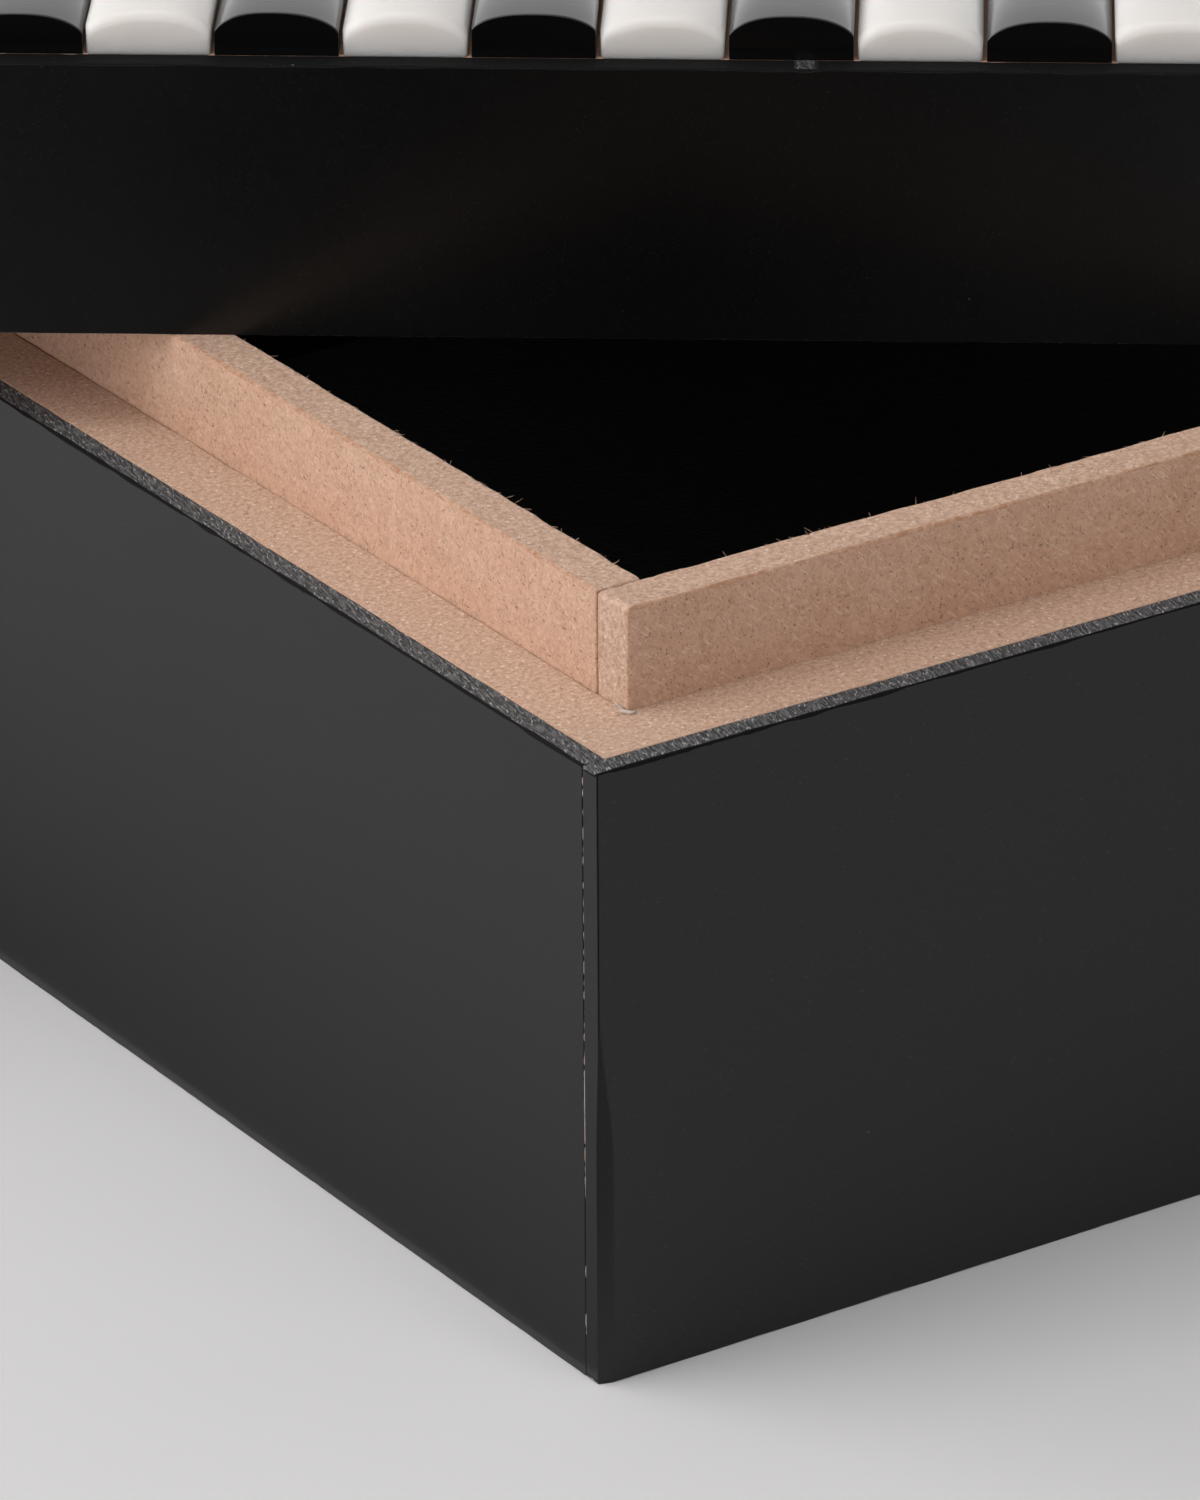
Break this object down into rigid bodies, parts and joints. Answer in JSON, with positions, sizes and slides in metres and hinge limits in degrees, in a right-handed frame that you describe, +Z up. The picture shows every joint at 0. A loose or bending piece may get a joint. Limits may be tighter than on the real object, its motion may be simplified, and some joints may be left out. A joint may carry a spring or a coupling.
{
  "type": "lidded keepsake box",
  "caption": "Rectangular box with a raised inner lip and a lift-off lid, topped with domed bars in black and white, shown with the lid lying askew across it.",
  "frame": {"origin": "centre of the box's underside, on the surface that it stands on", "axes": "+X along the length of the box, towards its right side, +Y from its front to its back, +Z up"},
  "size_m": [0.3102, 0.293, 0.0855],
  "materials": {
    "fibreboard": "raw sanded fibreboard",
    "black_sheet": "satin black resin sheet",
    "black_bar": "polished black resin",
    "white_bar": "polished milky resin",
    "felt": "black craft felt"
  },
  "bodies": {
    "box": {"foot_felt": "felt", "base_panel": "fibreboard", "floor_felt": "felt", "base_board_front": "fibreboard", "base_board_back": "fibreboard", "base_board_left": "fibreboard", "base_board_right": "fibreboard", "base_sheet_front": "black_sheet", "base_sheet_back": "black_sheet", "base_sheet_left": "black_sheet", "base_sheet_right": "black_sheet", "lip_board_front": "fibreboard", "lip_board_back": "fibreboard", "lip_board_left": "fibreboard", "lip_board_right": "fibreboard", "wall_felt_front": "felt", "wall_felt_back": "felt", "wall_felt_left": "felt", "wall_felt_right": "felt"},
    "lid": {"lid_panel": "fibreboard", "lid_felt": "felt", "lid_board_front": "fibreboard", "lid_board_back": "fibreboard", "lid_board_left": "fibreboard", "lid_board_right": "fibreboard", "lid_sheet_front": "black_sheet", "lid_sheet_back": "black_sheet", "lid_sheet_left": "black_sheet", "lid_sheet_right": "black_sheet", "bar_01": "black_bar", "bar_02": "white_bar", "bar_03": "black_bar", "bar_04": "white_bar", "bar_05": "black_bar", "bar_06": "white_bar", "bar_07": "black_bar", "bar_08": "white_bar", "bar_09": "black_bar", "bar_10": "white_bar", "bar_11": "black_bar", "bar_12": "white_bar", "bar_13": "black_bar", "bar_14": "white_bar", "bar_15": "black_bar", "bar_16": "white_bar", "bar_17": "black_bar", "bar_18": "white_bar", "bar_19": "black_bar", "bar_20": "white_bar", "bar_21": "black_bar", "bar_22": "white_bar", "bar_23": "black_bar", "bar_24": "white_bar", "bar_25": "black_bar"}
  },
  "joints": [
    {"name": "lid_lift", "type": "slide", "parent": "box", "child": "lid", "axis": [0, 0, 1], "range_m": [0, 0.11]}
  ]
}
